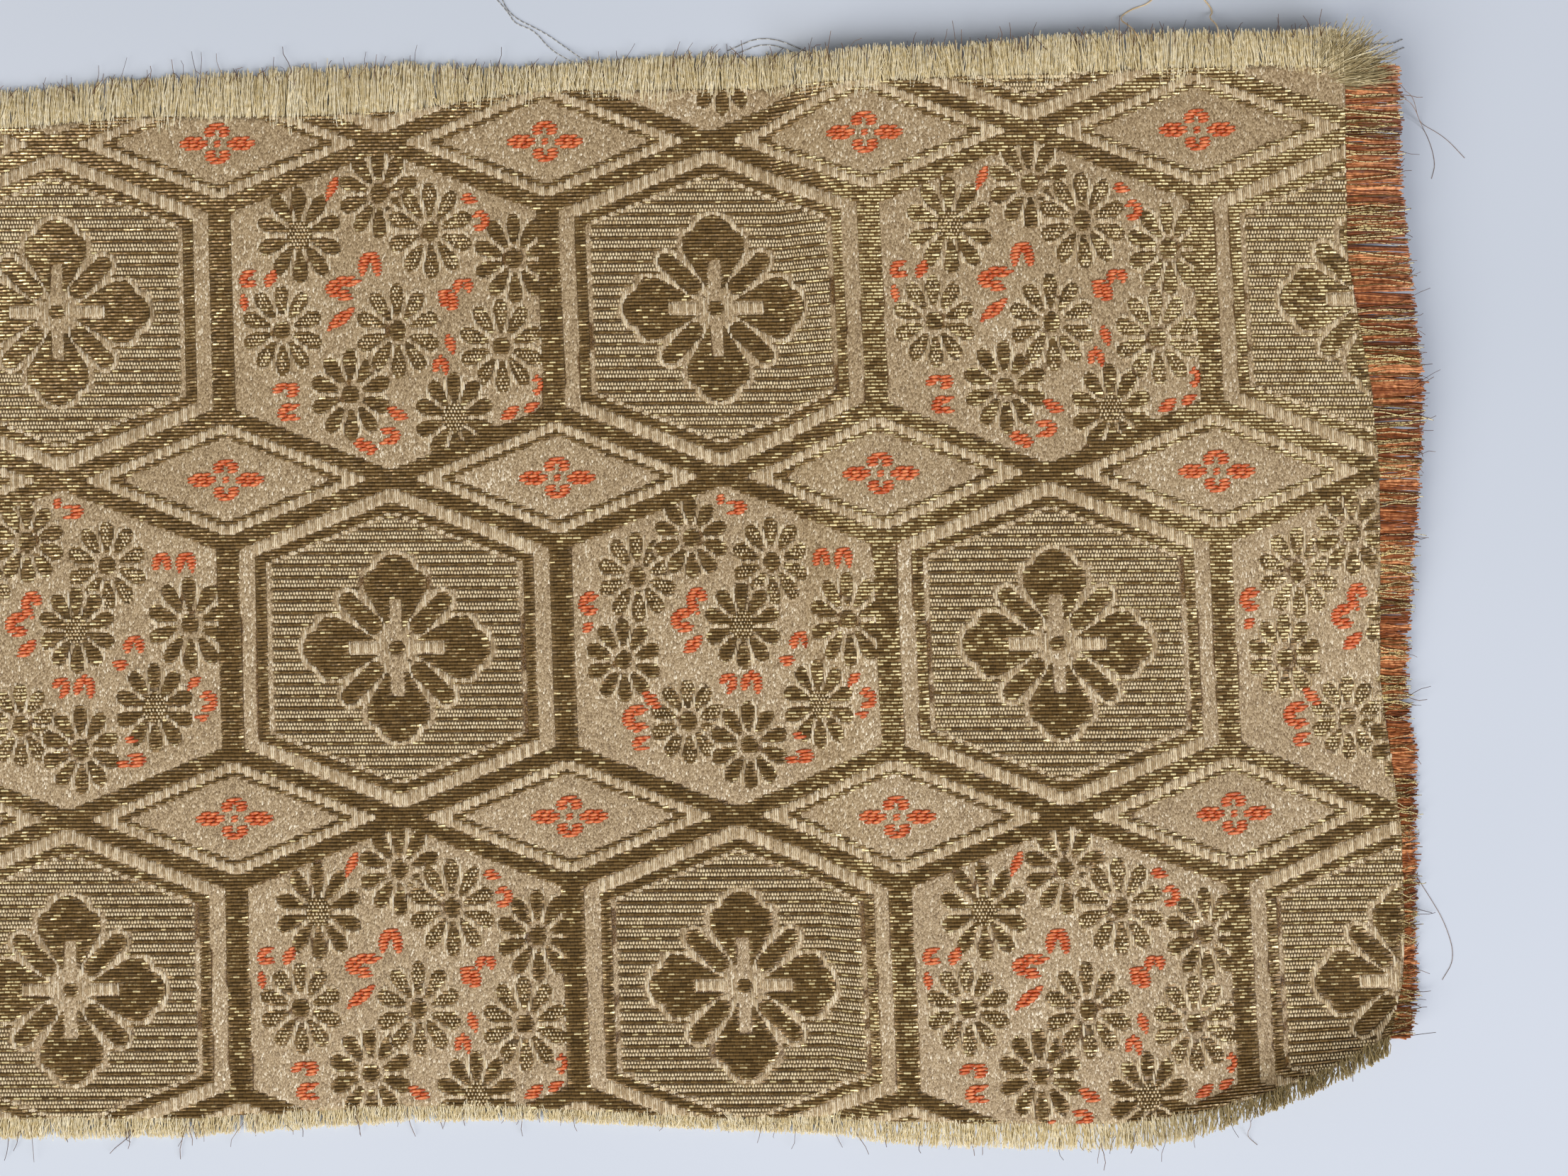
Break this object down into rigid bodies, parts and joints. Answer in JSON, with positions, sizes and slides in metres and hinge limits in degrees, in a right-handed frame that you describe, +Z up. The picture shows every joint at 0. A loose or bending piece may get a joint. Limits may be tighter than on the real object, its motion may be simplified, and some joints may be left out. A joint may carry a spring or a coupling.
{
  "type": "brocade panel",
  "caption": "Cut length of patterned silk brocade lying face up, with a soft crease, a curled corner and frayed edges.",
  "frame": {"origin": "middle of the underside's plane, centred on the box of the cloth with its frayed ends", "axes": "+X along the weft, from the plain cut to the frayed right edge; +Y along the warp, to the upper frayed edge; +Z up from the table"},
  "size_m": [0.1868, 0.132, 0.0058],
  "materials": {
    "brocade": "silk satin with gold pattern weft",
    "cream_ends": "loose silk warp ends",
    "orange_ends": "loose silk weft ends with gold thread"
  },
  "bodies": {
    "root": {"cloth": "brocade", "fringe_top": "cream_ends", "fringe_bottom": "cream_ends", "fringe_right": "orange_ends"}
  },
  "joints": []
}
